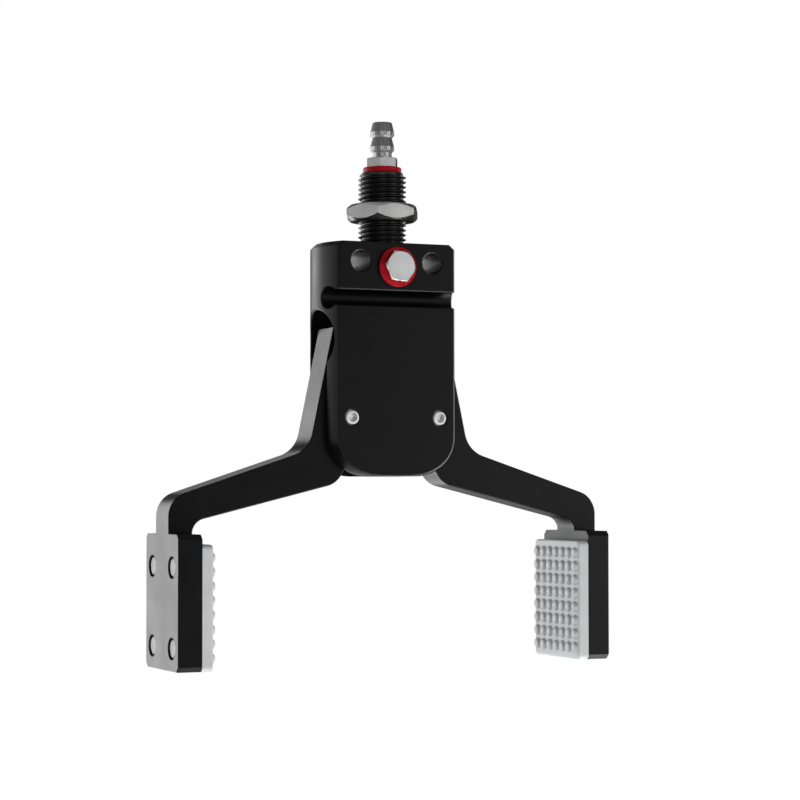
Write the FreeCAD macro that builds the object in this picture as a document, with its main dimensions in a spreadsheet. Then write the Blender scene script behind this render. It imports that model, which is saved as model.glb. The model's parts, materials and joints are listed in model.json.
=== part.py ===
# Wide-opening pneumatic gripper: a turned body with two hinged arms that carry nubbed grip pads.
# Origin: on the stem's axis, in the top face of the body. +Z points up the stem, the arms spread
# along X, and the flat with the sensor groove and the port faces -Y. Millimetres throughout.
# The model stands at rest: no air, springs hold the arms open, jaw plates parallel.
import FreeCAD
import Part
import Sketcher
import math
import os

doc = FreeCAD.newDocument("wide_opening_gripper")
sheet = doc.addObject("Spreadsheet::Sheet", "Sizes")


class Size:
    """A length that knows its value and the sheet expression that drives it."""

    def __init__(self, value, text):
        self.value = value
        self.text = text

    def __add__(self, other):
        other = sized(other)
        return Size(self.value + other.value, "(%s + %s)" % (self.text, other.text))

    def __sub__(self, other):
        other = sized(other)
        return Size(self.value - other.value, "(%s - %s)" % (self.text, other.text))

    def __mul__(self, other):
        other = sized(other)
        return Size(self.value * other.value, "(%s * %s)" % (self.text, other.text))

    def __truediv__(self, other):
        other = sized(other)
        return Size(self.value / other.value, "(%s / %s)" % (self.text, other.text))

    def __neg__(self):
        return Size(-self.value, "(0 - %s)" % self.text)


def sized(number):
    if isinstance(number, Size):
        return number
    return Size(float(number), "(%.9f)" % number)


row_count = 0


def size(name, value, note):
    """Write one driving dimension into the sheet and return it."""
    global row_count
    row_count += 1
    sheet.set("A%d" % row_count, name)
    sheet.set("B%d" % row_count, str(value))
    sheet.setAlias("B%d" % row_count, name)
    sheet.set("C%d" % row_count, note)
    return Size(float(value), "Sizes.%s" % name)


edge_break = size("edge_break", 0.2, "broken edges of the machined pieces")

# Body
body_diameter = size("body_diameter", 30.0, "turned bar")
flat_width = size("flat_width", 15.0, "across the two milled flats")
body_height = size("body_height", 48.0, "top face to bottom face")
top_chamfer = size("top_chamfer", 1.0, "turned edge at the top")
bottom_lip = size("bottom_lip", 0.5, "edge of the bottom face inside the flats, where the turned round ends")
side_hole_diameter = size("side_hole_diameter", 4.3, "mounting holes through the flats")
side_hole_spacing = size("side_hole_spacing", 16.0, "between the two mounting holes")
side_hole_drop = size("side_hole_drop", 4.0, "mounting holes below the top face")

# Stem, nut and hose nipple
stem_diameter = size("stem_diameter", 10.0, "thread size of the stem")
stem_length = size("stem_length", 15.1, "stem above the top face")
stem_chamfer = size("stem_chamfer", 0.7, "lead-in of the stem's thread")
nut_across_flats = size("nut_across_flats", 14.0, "jam nut")
nut_thickness = size("nut_thickness", 3.5, "jam nut")
nut_height = size("nut_height", 4.95, "underside of the jam nut above the top face")
nut_mouth = size("nut_mouth", 0.15, "countersunk mouths of the nut beyond the thread's crest")
thread_play = size("thread_play", 0.03, "play between screwed pieces")
thread_mesh = size("thread_mesh", 0.32, "crest of the stem's thread to its pitch line")
port_diameter = size("port_diameter", 5.0, "air ports in the stem's end and the front flat")
port_depth = size("port_depth", 6.0, "depth of the port in the stem's end")
spigot_gap = size("spigot_gap", 1.0, "port depth left under a screwed-in spigot")
passage_diameter = size("passage_diameter", 3.0, "air passage down to the cross bore")
port_drop = size("port_drop", 5.0, "front port below the top face")
seal_diameter = size("seal_diameter", 8.0, "red seal washer under the nipple")
seal_thickness = size("seal_thickness", 1.2, "washer under the nipple")
seal_edge = size("seal_edge", 0.3, "rounded rim of the washers")
plug_seal_diameter = size("plug_seal_diameter", 8.3, "red seal washer under the plug")
plug_seal_thickness = size("plug_seal_thickness", 0.7, "washer under the plug")
hexagon_across_flats = size("hexagon_across_flats", 6.0, "nipple and plug")
plug_head_height = size("plug_head_height", 1.5, "hexagon of the plug")
plug_turn = size("plug_turn", -6.0, "angle at which the plug came tight, degrees")
nipple_hexagon_height = size("nipple_hexagon_height", 2.0, "hexagon of the nipple")
nipple_bore = size("nipple_bore", 2.0, "air way through the nipple")
neck_diameter = size("neck_diameter", 4.0, "nipple below the barbs")
neck_length = size("neck_length", 1.15, "hexagon to the first barb")
barb_diameter = size("barb_diameter", 5.0, "widest part of a barb")
barb_pitch = size("barb_pitch", 3.1, "one barb")
barb_back = size("barb_back", 0.43, "steep rear of a barb")
barb_land = size("barb_land", 0.75, "straight band of a barb")
tip_length = size("tip_length", 0.1, "extra length of the last barb")
tip_round = size("tip_round", 0.25, "rounded end of the last barb")

# Sensor groove in the front flat
groove_drop = size("groove_drop", 11.5, "groove axis below the top face")
groove_diameter = size("groove_diameter", 4.5, "round channel for a sensor")
groove_inset = size("groove_inset", 2.75, "channel axis behind the flat")
groove_mouth = size("groove_mouth", 3.2, "straight mouth of the channel in the flat")

# Cross bore, pistons and springs
bore_diameter = size("bore_diameter", 12.5, "cross bore for the two pistons")
bore_drop = size("bore_drop", 20.0, "bore axis below the top face")
bore_rim = size("bore_rim", 0.35, "broken rim of the bore in the turned side")
piston_play = size("piston_play", 0.05, "radial play of a piston")
piston_back = size("piston_back", 0.6, "piston's inner end from the middle of the body")
piston_chamfer = size("piston_chamfer", 0.5, "edge at a piston's inner end")
piston_crown = size("piston_crown", 2.6, "height of the domed nose")
nose_gap = size("nose_gap", 0.3, "nose to the arm")
ring_inset = size("ring_inset", 1.0, "inner end of a piston to its seal groove")
ring_section = size("ring_section", 1.2, "cross section of the seal ring as fitted")
ring_play = size("ring_play", 0.04, "seal ring to the walls around it")
magnet_diameter = size("magnet_diameter", 6.0, "sensor magnet")
magnet_thickness = size("magnet_thickness", 1.5, "sensor magnet")
magnet_play = size("magnet_play", 0.03, "magnet to its pocket")
spring_drop = size("spring_drop", 7.0, "spring axis below the pivot")
spring_diameter = size("spring_diameter", 3.4, "outside of a return spring")
spring_wire = size("spring_wire", 0.5, "wire of a return spring")
spring_turns = size("spring_turns", 6.0, "turns of a return spring")
spring_play = size("spring_play", 0.3, "spring to the wall of its pocket")
spring_seat_gap = size("spring_seat_gap", 0.05, "spring end to its seat")
web_pocket_depth = size("web_pocket_depth", 3.0, "spring pocket in the body's web")
arm_pocket_depth = size("arm_pocket_depth", 1.6, "spring pocket in the arm, from its inner edge")

# Pivots and arms, measured from a pivot's axis
pivot_inset = size("pivot_inset", 5.2, "pivots inside the turned side, along X")
pivot_rise = size("pivot_rise", 12.0, "pivots above the body's bottom face")
pin_diameter = size("pin_diameter", 3.0, "pivot pins")
pin_recess = size("pin_recess", 0.05, "pin end below the flat")
pin_chamfer = size("pin_chamfer", 0.3, "edge of a pin's end")
pin_seat_play = size("pin_seat_play", 0.01, "pin in the body, radial")
pin_running_play = size("pin_running_play", 0.04, "arm on its pin, radial")
arm_thickness = size("arm_thickness", 8.0, "arm along Y")
slot_play = size("slot_play", 0.5, "arm to each side of its slot")
slot_back_play = size("slot_back_play", 0.6, "pivot boss to the end of the slot")
shank_back_play = size("shank_back_play", 0.7, "upper shank to the end of the slot")
boss_radius = size("boss_radius", 4.5, "arm around the pivot")
boss_corner_in = size("boss_corner_in", 6.0, "inner corner that the boss rounds, inwards")
boss_corner_rise = size("boss_corner_rise", 1.75, "the same corner, upwards")
shank_width = size("shank_width", 4.6, "upper lever, along X")
shank_over = size("shank_over", 2.6, "top of the upper lever above the bore's axis")
shank_out = size("shank_out", 2.85, "outer edge of the upper lever at its top")
shank_edge = size("shank_edge", 0.25, "rounded top corners")
shank_root = size("shank_root", 5.7, "where the lever meets the boss")
root_radius = size("root_radius", 2.0, "inside round at the boss")
elbow_out = size("elbow_out", 8.2, "outer corner between lever and beam, outwards")
elbow_drop = size("elbow_drop", 6.6, "the same corner, downwards")
elbow_radius = size("elbow_radius", 6.0, "inside round at the elbow")
shoulder_drop = size("shoulder_drop", 16.4, "upper edge of the beam at the jaw plate")
shoulder_radius = size("shoulder_radius", 5.0, "outside round above the jaw plate")
armpit_drop = size("armpit_drop", 21.1, "lower edge of the beam at the jaw plate")
armpit_radius = size("armpit_radius", 3.0, "inside round above the jaw plate")
heel_out = size("heel_out", 1.95, "lower inner corner of the beam, outwards")
heel_drop = size("heel_drop", 13.45, "the same corner, downwards")
heel_radius = size("heel_radius", 5.0, "outside round of that corner")

# Jaw plates and pads
jaw_opening = size("jaw_opening", 80.0, "between the nub tips with the arms open")
plate_thickness = size("plate_thickness", 5.0, "jaw plate along X")
plate_width = size("plate_width", 20.0, "jaw plate along Y")
plate_height = size("plate_height", 27.0, "jaw plate along Z")
plate_drop = size("plate_drop", 23.5, "top of the jaw plate below the pivot")
plate_chamfer = size("plate_chamfer", 1.0, "corners of the jaw plate")
pad_thickness = size("pad_thickness", 2.35, "pad without its nubs")
pad_height = size("pad_height", 25.0, "pad, flush with the plate's lower edge")
pad_corner = size("pad_corner", 1.0, "rounded corners of the pad")
pad_rim = size("pad_rim", 0.5, "rounded rim of the gripping face")
stud_diameter = size("stud_diameter", 4.1, "studs on the back of the pad")
stud_play = size("stud_play", 0.05, "stud in the plate's hole, radial")
stud_recess = size("stud_recess", 0.25, "stud end below the plate's outer face")
stud_round = size("stud_round", 0.5, "rounded end of a stud")
stud_spacing_across = size("stud_spacing_across", 12.0, "studs along Y")
stud_spacing_down = size("stud_spacing_down", 16.0, "studs along Z")
nub_height = size("nub_height", 0.65, "nubs on the gripping face")
nub_base = size("nub_base", 2.4, "diameter of a nub at its foot")
nub_top = size("nub_top", 1.5, "diameter of a nub at its tip, before rounding")
nub_round = size("nub_round", 0.5, "rounded tip of a nub")
nub_pitch = size("nub_pitch", 2.84, "between nubs, both ways")
nub_columns = size("nub_columns", 7, "nubs along Y")
nub_rows = size("nub_rows", 8, "nubs along Z")

doc.recompute()

# Sizes that follow from the ones above
body_radius = body_diameter / 2
flat_depth = flat_width / 2
bottom_radius = body_radius - flat_depth + bottom_lip
stem_radius = stem_diameter / 2
bore_radius = bore_diameter / 2
pivot_out = body_radius - pivot_inset
pivot_drop = body_height - pivot_rise
shank_rise = pivot_drop - bore_drop + shank_over
spring_pocket = spring_diameter / 2 + spring_play
slot_width = arm_thickness + slot_play * 2
slot_back = pivot_out - boss_radius - slot_back_play
shank_back = pivot_out + shank_out - shank_width - shank_back_play
pad_face = jaw_opening / 2 + nub_height - pivot_out
plate_inner = pad_face + pad_thickness
plate_outer = plate_inner + plate_thickness
plate_bottom = plate_drop + plate_height
pad_centre = plate_bottom - pad_height / 2
piston_radius = bore_radius - piston_play
corner_ratio = 2 / math.sqrt(3)
clear = body_diameter / 10


def axis_or_plane(body, role):
    for feature in body.Origin.OriginFeatures:
        if feature.Role == role:
            return feature


def new_body(label, place=(0, 0, 0), turn=None):
    """Start a sub-part whose place follows the sheet and which may be turned about an axis."""
    body = doc.addObject("PartDesign::Body", label)
    body.Label = label
    rotation = turn or FreeCAD.Rotation()
    body.Placement = FreeCAD.Placement(FreeCAD.Vector(*[sized(p).value for p in place]), rotation)
    for letter, position in zip("xyz", place):
        if isinstance(position, Size):
            body.setExpression("Placement.Base.%s" % letter, position.text)
    return body


def new_sketch(body, role, offset=None):
    sketch = body.newObject("Sketcher::SketchObject", body.Label + "_sketch")
    sketch.AttachmentSupport = [(axis_or_plane(body, role), "")]
    sketch.MapMode = "FlatFace"
    if offset is not None:
        sketch.AttachmentOffset = FreeCAD.Placement(
            FreeCAD.Vector(0, 0, offset.value), FreeCAD.Rotation())
        sketch.setExpression("AttachmentOffset.Base.z", offset.text)
    return sketch


def dimension(sketch, kind, *parts):
    """Add a dimension whose last part is a Size, and bind it to the sheet."""
    number = sketch.addConstraint(Sketcher.Constraint(kind, *parts[:-1], parts[-1].value))
    sketch.setExpression("Constraints[%d]" % number, parts[-1].text)


def locate(sketch, geometry, point, x, y):
    """Tie a point to the sketch's origin by two dimensions, or to an axis where it lies on one."""
    for kind, axis, place in (("DistanceX", -2, x), ("DistanceY", -1, y)):
        if isinstance(place, Size):
            dimension(sketch, kind, -1, 1, geometry, point, place)
        else:
            sketch.addConstraint(Sketcher.Constraint("PointOnObject", geometry, point, axis))


def circle(sketch, x, y, diameter):
    centre = FreeCAD.Vector(sized(x).value, sized(y).value, 0)
    geometry = sketch.addGeometry(
        Part.Circle(centre, FreeCAD.Vector(0, 0, 1), diameter.value / 2), False)
    locate(sketch, geometry, 3, x, y)
    dimension(sketch, "Diameter", geometry, diameter)
    return geometry


def round_points(before, corner, after, radius):
    """Tangent points and centre of a round of this radius at a corner."""
    back = (before - corner).normalize()
    ahead = (after - corner).normalize()
    half = back.getAngle(ahead) / 2
    run = radius / math.tan(half)
    middle = (back + ahead).normalize()
    return corner + back * run, corner + ahead * run, corner + middle * (radius / math.sin(half))


def outline(sketch, corners):
    """Draw a closed outline through corners (x, y) or (x, y, radius of the round there)."""
    points = [FreeCAD.Vector(sized(c[0]).value, sized(c[1]).value, 0) for c in corners]
    count = len(corners)
    entry = list(points)
    leave = list(points)
    arcs = {}
    for i, corner in enumerate(corners):
        if len(corner) == 3:
            entry[i], leave[i], centre = round_points(
                points[i - 1], points[i], points[(i + 1) % count], corner[2].value)
            start = math.atan2(entry[i].y - centre.y, entry[i].x - centre.x)
            end = math.atan2(leave[i].y - centre.y, leave[i].x - centre.x)
            turn = (points[i] - points[i - 1]).cross(points[(i + 1) % count] - points[i]).z
            flipped = turn < 0
            if flipped:
                start, end = end, start
            arcs[i] = (centre, corner[2], start, end, flipped)
    lines = []
    for i in range(count):
        lines.append(sketch.addGeometry(Part.LineSegment(leave[i], entry[(i + 1) % count]), False))
    for i, corner in enumerate(corners):
        before = lines[i - 1]
        after = lines[i]
        if i not in arcs:
            sketch.addConstraint(Sketcher.Constraint("Coincident", before, 2, after, 1))
            locate(sketch, after, 1, corner[0], corner[1])
            continue
        centre, radius, start, end, flipped = arcs[i]
        rim = Part.Circle(centre, FreeCAD.Vector(0, 0, 1), radius.value)
        arc = sketch.addGeometry(Part.ArcOfCircle(rim, start, end), False)
        first, last = (2, 1) if flipped else (1, 2)
        mark = sketch.addGeometry(Part.Point(points[i]), True)
        locate(sketch, mark, 1, corner[0], corner[1])
        sketch.addConstraint(Sketcher.Constraint("PointOnObject", mark, 1, before))
        sketch.addConstraint(Sketcher.Constraint("PointOnObject", mark, 1, after))
        sketch.addConstraint(Sketcher.Constraint("Tangent", before, 2, arc, first))
        sketch.addConstraint(Sketcher.Constraint("Tangent", arc, last, after, 1))
        dimension(sketch, "Radius", arc, radius)


def rectangle(sketch, low_x, low_y, high_x, high_y):
    outline(sketch, [(low_x, low_y), (high_x, low_y), (high_x, high_y), (low_x, high_y)])


def bound(feature, **sizes):
    for name, value in sizes.items():
        setattr(feature, name, value.value)
        feature.setExpression(name, value.text)


def pad(body, sketch, length, side="One side", reverse=False):
    feature = body.newObject("PartDesign::Pad", body.Label + "_pad")
    feature.Profile = sketch
    feature.SideType = side
    feature.Reversed = reverse
    bound(feature, Length=length)
    doc.recompute()
    return feature


def pocket(body, sketch, length=None, side="One side", reverse=False):
    """Cut a sketch out of a body, right through when no length is given."""
    volume = body.Shape.Volume
    feature = body.newObject("PartDesign::Pocket", body.Label + "_pocket")
    feature.Profile = sketch
    feature.SideType = side
    feature.Reversed = reverse
    if length is None:
        feature.Type = "ThroughAll"
    else:
        bound(feature, Length=length)
    doc.recompute()
    if body.Shape.Volume >= volume:
        raise RuntimeError("a cut in %s takes nothing away" % body.Label)
    return feature


def turn_profile(body, sketch, axis="V_Axis", cut=False):
    """Revolve a sketch about one of its own axes, to add or to cut."""
    volume = body.Shape.Volume if cut else 0
    kind = "Groove" if cut else "Revolution"
    feature = body.newObject("PartDesign::" + kind, body.Label + "_" + kind.lower())
    feature.Profile = sketch
    feature.ReferenceAxis = (sketch, [axis])
    feature.Angle = 360
    doc.recompute()
    if cut and body.Shape.Volume >= volume:
        raise RuntimeError("a groove in %s takes nothing away" % body.Label)
    return feature


def dress_edges(body, kind, wanted, **sizes):
    """Chamfer or fillet those edges of a body whose points all pass a test."""
    base = body.Tip
    names = []
    for number, edge in enumerate(base.Shape.Edges):
        if all(wanted(point) for point in edge.discretize(7)):
            names.append("Edge%d" % (number + 1))
    feature = body.newObject("PartDesign::" + kind, body.Label + "_" + kind.lower())
    feature.Base = (base, names)
    bound(feature, **sizes)
    doc.recompute()
    return feature


def near(first, second):
    return abs(first - sized(second).value) < 1e-4


def hexagon(body, across_flats, height, base=None):
    """Pad a hexagonal prism with two corners on the X axis."""
    sketch = new_sketch(body, "XY_Plane", base)
    reach = across_flats / 2 * corner_ratio
    half = across_flats / 2
    side = reach / 2
    outline(sketch, [(reach, 0), (side, half), (-side, half), (-reach, 0), (-side, -half), (side, -half)])
    return pad(body, sketch, height)


def bevel_hexagon(body, across_flats, low=None, high=None, face=0.93, slope=30):
    """Turn the corners of a hexagon off, at its lower end, its upper end or both."""
    reach = across_flats / 2 * (corner_ratio * 1.1)
    rim = across_flats / 2 * face
    fall = (reach - rim) * math.tan(math.radians(slope))
    for end, way in ((low, 1), (high, -1)):
        if end is None:
            continue
        sketch = new_sketch(body, "XZ_Plane")
        outline(sketch, [(rim, end), (reach, end), (reach, sized(end) + fall * way)])
        turn_profile(body, sketch, cut=True)


def make_body():
    # The free thread stands at its crests. Inside the nut both threads stand at their pitch line.
    body = new_body("body")
    sketch = new_sketch(body, "XZ_Plane")
    mesh = stem_radius - thread_mesh
    seat_low = nut_height - thread_play
    seat_high = nut_height + nut_thickness + thread_play
    outline(sketch, [
        (0, stem_length), (stem_radius - stem_chamfer, stem_length),
        (stem_radius, stem_length - stem_chamfer), (stem_radius, seat_high), (mesh, seat_high),
        (mesh, seat_low), (stem_radius, seat_low), (stem_radius, 0),
        (body_radius - top_chamfer, 0), (body_radius, -top_chamfer),
        (body_radius, -body_height, bottom_radius), (0, -body_height)])
    turn_profile(body, sketch)

    sketch = new_sketch(body, "XY_Plane")
    reach = body_radius + clear
    rectangle(sketch, -reach, flat_depth, reach, reach)
    rectangle(sketch, -reach, -reach, reach, -flat_depth)
    pocket(body, sketch, body_height)
    dress_edges(body, "Chamfer", lambda point: near(abs(point.y), flat_depth), Size=edge_break)

    sketch = new_sketch(body, "YZ_Plane")
    circle(sketch, groove_inset - flat_depth, -groove_drop, groove_diameter)
    pocket(body, sketch, side="Symmetric")
    sketch = new_sketch(body, "YZ_Plane")
    rectangle(sketch, -reach, -groove_drop - groove_mouth / 2, groove_inset - flat_depth, groove_mouth / 2 - groove_drop)
    pocket(body, sketch, side="Symmetric")

    sketch = new_sketch(body, "YZ_Plane")
    circle(sketch, 0, -bore_drop, bore_diameter)
    pocket(body, sketch, side="Symmetric")

    # Slots for the arms: full depth below the bore, shorter where the pistons need a whole wall.
    sketch = new_sketch(body, "XZ_Plane")
    step = -bore_drop - bore_radius - clear / 2
    foot = -body_height - clear
    for way in (1, -1):
        outline(sketch, [
            (slot_back * way, foot), (reach * way, foot), (reach * way, -bore_drop),
            (shank_back * way, -bore_drop), (shank_back * way, step), (slot_back * way, step)])
    pocket(body, sketch, slot_width, "Symmetric")

    sketch = new_sketch(body, "XZ_Plane")
    for way in (1, -1):
        circle(sketch, pivot_out * way, -pivot_drop, pin_diameter + pin_seat_play * 2)
    pocket(body, sketch, side="Symmetric")

    sketch = new_sketch(body, "XZ_Plane")
    for way in (1, -1):
        circle(sketch, side_hole_spacing / 2 * way, -side_hole_drop, side_hole_diameter)
    pocket(body, sketch, side="Symmetric")

    # Air passage from the end of the stem to the bore, and the plugged port in the front flat.
    sketch = new_sketch(body, "XZ_Plane")
    port = port_diameter / 2
    floor = stem_length - port_depth
    passage = passage_diameter / 2
    outline(sketch, [
        (0, stem_length), (port, stem_length), (port, floor), (passage, floor),
        (passage, -bore_drop), (0, -bore_drop)])
    turn_profile(body, sketch, cut=True)
    sketch = new_sketch(body, "XZ_Plane")
    circle(sketch, 0, -port_drop, port_diameter)
    pocket(body, sketch, flat_depth, reverse=True)

    # Spring pockets on both sides of the web between the arms.
    sketch = new_sketch(body, "XZ_Plane")
    level = -pivot_drop - spring_drop
    for way in (1, -1):
        rectangle(sketch, (slot_back - web_pocket_depth) * way, level,
                  (slot_back + clear / 10) * way, level + spring_pocket)
    line = sketch.addGeometry(Part.LineSegment(
        FreeCAD.Vector(-1, level.value, 0), FreeCAD.Vector(1, level.value, 0)), True)
    sketch.addConstraint(Sketcher.Constraint("Horizontal", line))
    locate(sketch, line, 1, -slot_back, level)
    dimension(sketch, "DistanceX", line, 1, line, 2, slot_back * 2)
    turn_profile(body, sketch, "Axis0", cut=True)

    # Broken rims of the openings in the turned side and in both flats.
    def on_bore(point):
        rim = near(math.hypot(point.y, point.z + bore_drop.value), bore_radius)
        return near(math.hypot(point.x, point.y), body_radius) and rim

    def on_groove(point):
        across = point.y + flat_depth.value - groove_inset.value
        rise = point.z + groove_drop.value
        channel = near(math.hypot(across, rise), groove_diameter / 2) or near(abs(rise), groove_mouth / 2)
        skin = math.hypot(point.x, point.y) > (body_radius - edge_break * 2).value
        return channel and (skin or near(abs(point.y), flat_depth))

    def on_hole(point):
        out = abs(point.x)
        screw = near(math.hypot(out - side_hole_spacing.value / 2, point.z + side_hole_drop.value),
                     side_hole_diameter / 2)
        pin = near(math.hypot(out - pivot_out.value, point.z + pivot_drop.value),
                   pin_diameter / 2 + pin_seat_play)
        return near(abs(point.y), flat_depth) and (screw or pin)

    dress_edges(body, "Chamfer", on_bore, Size=bore_rim)
    dress_edges(body, "Chamfer", lambda point: on_groove(point) or on_hole(point), Size=edge_break)
    return body


def make_nut():
    body = new_body("jam_nut", (0, 0, nut_height))
    hexagon(body, nut_across_flats, nut_thickness)
    bevel_hexagon(body, nut_across_flats, low=0, high=nut_thickness, face=0.949, slope=39)
    sketch = new_sketch(body, "XY_Plane")
    wall = stem_radius - thread_mesh + thread_play
    circle(sketch, 0, 0, wall * 2)
    pocket(body, sketch, side="Symmetric")
    mouth = stem_radius + nut_mouth
    for end, way in ((sized(0), 1), (nut_thickness, -1)):
        sketch = new_sketch(body, "XZ_Plane")
        outline(sketch, [(wall, end), (mouth, end), (wall, end + (mouth - wall) * way)])
        turn_profile(body, sketch, cut=True)
    return body


def make_washer(label, diameter, thickness, place, turn=None):
    body = new_body(label, place, turn)
    sketch = new_sketch(body, "XZ_Plane")
    hole = port_diameter / 2
    rim = diameter / 2
    outline(sketch, [(hole, 0), (rim, 0, seal_edge), (rim, thickness, seal_edge), (hole, thickness)])
    turn_profile(body, sketch)
    return body


def make_nipple():
    """Hose nipple: origin at the foot of its hexagon, on top of the seal washer."""
    body = new_body("hose_nipple", (0, 0, stem_length + seal_thickness))
    sketch = new_sketch(body, "XZ_Plane")
    spigot = port_diameter / 2 - thread_play
    end = -seal_thickness - port_depth + spigot_gap
    neck = neck_diameter / 2
    widest = barb_diameter / 2
    first = nipple_hexagon_height + neck_length
    second = first + barb_pitch
    top = second + barb_pitch + tip_length
    outline(sketch, [
        (0, end), (spigot, end), (spigot, nipple_hexagon_height / 2), (neck, nipple_hexagon_height / 2),
        (neck, first), (widest, first + barb_back), (widest, first + barb_back + barb_land),
        (neck, second), (widest, second + barb_back), (widest, second + barb_back + barb_land),
        (neck, top, tip_round), (0, top)])
    turn_profile(body, sketch)
    hexagon(body, hexagon_across_flats, nipple_hexagon_height)
    bevel_hexagon(body, hexagon_across_flats, high=nipple_hexagon_height, face=1.0)
    sketch = new_sketch(body, "XY_Plane")
    circle(sketch, 0, 0, nipple_bore)
    pocket(body, sketch, side="Symmetric")
    return body


def make_plug():
    """Port plug: built along Z, then laid down so that its head faces the front."""
    lay = FreeCAD.Rotation(FreeCAD.Vector(1, 0, 0), 90)
    spin = FreeCAD.Rotation(FreeCAD.Vector(0, 0, 1), plug_turn.value)
    body = new_body("port_plug", (0, -flat_depth, -port_drop), lay.multiply(spin))
    sketch = new_sketch(body, "XZ_Plane")
    spigot = port_diameter / 2 - thread_play
    end = passage_diameter / 2 + spigot_gap - flat_depth
    outline(sketch, [(0, end), (spigot, end), (spigot, plug_seal_thickness), (0, plug_seal_thickness)])
    turn_profile(body, sketch)
    hexagon(body, hexagon_across_flats, plug_head_height, plug_seal_thickness)
    bevel_hexagon(body, hexagon_across_flats, high=plug_seal_thickness + plug_head_height, face=1.0)
    return body


half_turn = FreeCAD.Rotation(FreeCAD.Vector(0, 0, 1), 180)
sides = (("left", -1, half_turn), ("right", 1, None))


def lever_inner(rise):
    """X of the lever's inner edge at a height above the pivot; it runs along the outer edge."""
    lean = (elbow_out - shank_out) / (shank_rise + elbow_drop)
    return shank_out - shank_width + lean * (shank_rise - rise)


def inner_edge(drop):
    """X of the arm's edge between boss and heel at a depth below the pivot."""
    lean = (heel_out + boss_corner_in) / (heel_drop + boss_corner_rise)
    return lean * (drop + boss_corner_rise) - boss_corner_in


arm_seat = inner_edge(spring_drop) + arm_pocket_depth


def make_arm(side, way, turn):
    """Arm with its jaw plate: origin on the pivot's axis, X outwards."""
    body = new_body(side + "_arm", (pivot_out * way, 0, -pivot_drop), turn)
    sketch = new_sketch(body, "XZ_Plane")
    foot = -plate_drop - plate_height / 4
    outline(sketch, [
        (shank_out, shank_rise, shank_edge),
        (elbow_out, -elbow_drop, elbow_radius),
        (plate_outer, -shoulder_drop, shoulder_radius),
        (plate_outer, foot), (plate_inner, foot),
        (plate_inner, -armpit_drop, armpit_radius),
        (heel_out, -heel_drop, heel_radius),
        (-boss_corner_in, boss_corner_rise, boss_radius),
        (lever_inner(shank_root), shank_root, root_radius),
        (shank_out - shank_width, shank_rise, shank_edge)])
    pad(body, sketch, arm_thickness, "Symmetric")
    dress_edges(body, "Chamfer", lambda point: near(abs(point.y), arm_thickness / 2), Size=edge_break)

    sketch = new_sketch(body, "YZ_Plane", plate_inner)
    half = plate_width / 2
    cut = plate_chamfer
    top = -plate_drop
    low = -plate_bottom
    outline(sketch, [
        (cut - half, top), (half - cut, top), (half, top - cut), (half, low + cut),
        (half - cut, low), (cut - half, low), (-half, low + cut), (-half, top - cut)])
    pad(body, sketch, plate_thickness)

    sketch = new_sketch(body, "YZ_Plane", plate_inner)
    stud_circles(sketch, stud_diameter + stud_play * 2)
    pocket(body, sketch, plate_thickness, reverse=True)

    sketch = new_sketch(body, "XZ_Plane")
    circle(sketch, 0, 0, pin_diameter + pin_running_play * 2)
    pocket(body, sketch, side="Symmetric")

    sketch = new_sketch(body, "YZ_Plane", arm_seat)
    circle(sketch, 0, -spring_drop, spring_pocket * 2)
    pocket(body, sketch, arm_seat + boss_corner_in)

    # Broken edges of the plate's outer face and of its holes, below the arm.
    def on_plate(point):
        return near(point.x, plate_outer) and point.z < -plate_drop.value - 1e-4

    dress_edges(body, "Chamfer", on_plate, Size=edge_break)
    return body


def stud_circles(sketch, diameter):
    for across in (1, -1):
        for down in (1, -1):
            circle(sketch, stud_spacing_across / 2 * across,
                   stud_spacing_down / 2 * down - pad_centre, diameter)


def make_pad(side, way, turn):
    """Moulded grip pad: nubs towards the other jaw, studs in the holes of the jaw plate."""
    body = new_body(side + "_pad", (pivot_out * way, 0, -pivot_drop), turn)
    sketch = new_sketch(body, "YZ_Plane", pad_face)
    half = plate_width / 2
    low = -plate_bottom
    high = pad_height - plate_bottom
    outline(sketch, [
        (-half, low, pad_corner), (half, low, pad_corner),
        (half, high, pad_corner), (-half, high, pad_corner)])
    pad(body, sketch, pad_thickness)
    dress_edges(body, "Fillet", lambda point: near(point.x, pad_face), Radius=pad_rim)
    sketch = new_sketch(body, "YZ_Plane", plate_inner)
    stud_circles(sketch, stud_diameter)
    pad(body, sketch, plate_thickness - stud_recess)
    dress_edges(body, "Fillet", lambda point: near(point.x, plate_outer - stud_recess), Radius=stud_round)

    # One nub in the lowest corner of the field, then the whole field.
    sketch = new_sketch(body, "XZ_Plane", -(nub_pitch * (nub_columns - 1) / 2))
    level = -pad_centre - nub_pitch * (nub_rows - 1) / 2
    rim = level + nub_base / 2
    tip = pad_face - nub_height
    foot = pad_face + pad_rim / 2
    outline(sketch, [
        (foot, level), (foot, rim), (pad_face, rim), (tip, level + nub_top / 2, nub_round), (tip, level)])
    line = sketch.addGeometry(Part.LineSegment(
        FreeCAD.Vector(tip.value, level.value, 0), FreeCAD.Vector(foot.value, level.value, 0)), True)
    locate(sketch, line, 1, tip, level)
    locate(sketch, line, 2, foot, level)
    nub = turn_profile(body, sketch, "Axis0")
    field = body.newObject("PartDesign::LinearPattern", body.Label + "_nubs")
    field.Originals = [nub]
    field.Direction = (axis_or_plane(body, "Y_Axis"), [""])
    field.Direction2 = (axis_or_plane(body, "Z_Axis"), [""])
    bound(field, Length=nub_pitch * (nub_columns - 1), Length2=nub_pitch * (nub_rows - 1))
    field.Occurrences = int(nub_columns.value)
    field.setExpression("Occurrences", nub_columns.text)
    field.Occurrences2 = int(nub_rows.value)
    field.setExpression("Occurrences2", nub_rows.text)
    field.Reversed = True
    body.Tip = field
    doc.recompute()
    return body


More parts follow.
